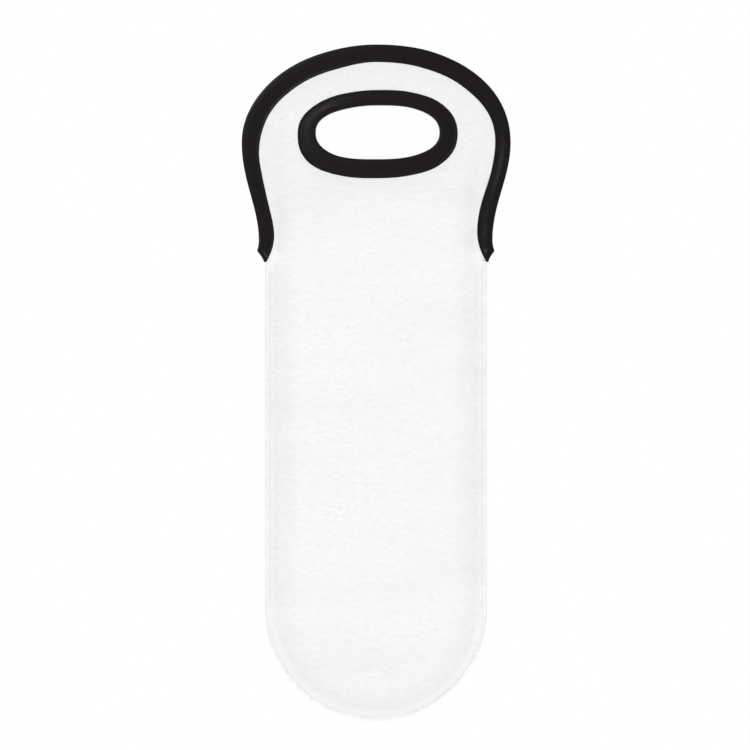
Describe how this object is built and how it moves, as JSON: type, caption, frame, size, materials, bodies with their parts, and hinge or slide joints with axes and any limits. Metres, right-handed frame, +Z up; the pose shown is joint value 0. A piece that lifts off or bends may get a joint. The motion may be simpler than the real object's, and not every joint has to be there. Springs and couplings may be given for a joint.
{
  "type": "bottle carrier",
  "caption": "Sewn neoprene sleeve for a bottle, with a U-shaped pocket and two bound grips, each with an oval hand hole, that flex apart at the mouth.",
  "frame": {"origin": "middle of the hand holes, halfway between the two grips", "axes": "+Z up along the pocket, towards the grips; +X across the panels; the front panel faces -Y"},
  "size_m": [0.155, 0.0238, 0.3909],
  "materials": {
    "white_knit": "fine white jersey knit laminated to foam",
    "neoprene_foam": "black closed-cell neoprene foam, seen only at cut edges",
    "black_knit": "fine black jersey lining",
    "binding_tape": "black folded binding tape with a soft satin sheen",
    "overlock_thread": "matte black overlock thread"
  },
  "bodies": {
    "pocket": {"front_cover": "white_knit", "front_core": "neoprene_foam", "front_lining": "black_knit", "back_cover": "white_knit", "back_core": "neoprene_foam", "back_lining": "black_knit", "seam_overlock": "overlock_thread"},
    "front_grip": {"front_grip_cover": "white_knit", "front_grip_core": "neoprene_foam", "front_grip_lining": "black_knit", "front_rim_binding": "binding_tape", "front_hole_binding": "binding_tape"},
    "back_grip": {"back_grip_cover": "white_knit", "back_grip_core": "neoprene_foam", "back_grip_lining": "black_knit", "back_rim_binding": "binding_tape", "back_hole_binding": "binding_tape"}
  },
  "joints": [
    {"name": "front_grip_flex", "type": "hinge", "parent": "pocket", "child": "front_grip", "pos_m": [0, -0.0119, -0.0749], "axis": [1, 0, 0], "range_deg": [0, 45], "stiffness_Nm_per_rad": 0.04},
    {"name": "back_grip_flex", "type": "hinge", "parent": "pocket", "child": "back_grip", "pos_m": [0, 0.0119, -0.0749], "axis": [-1, 0, 0], "range_deg": [0, 45], "stiffness_Nm_per_rad": 0.04}
  ]
}
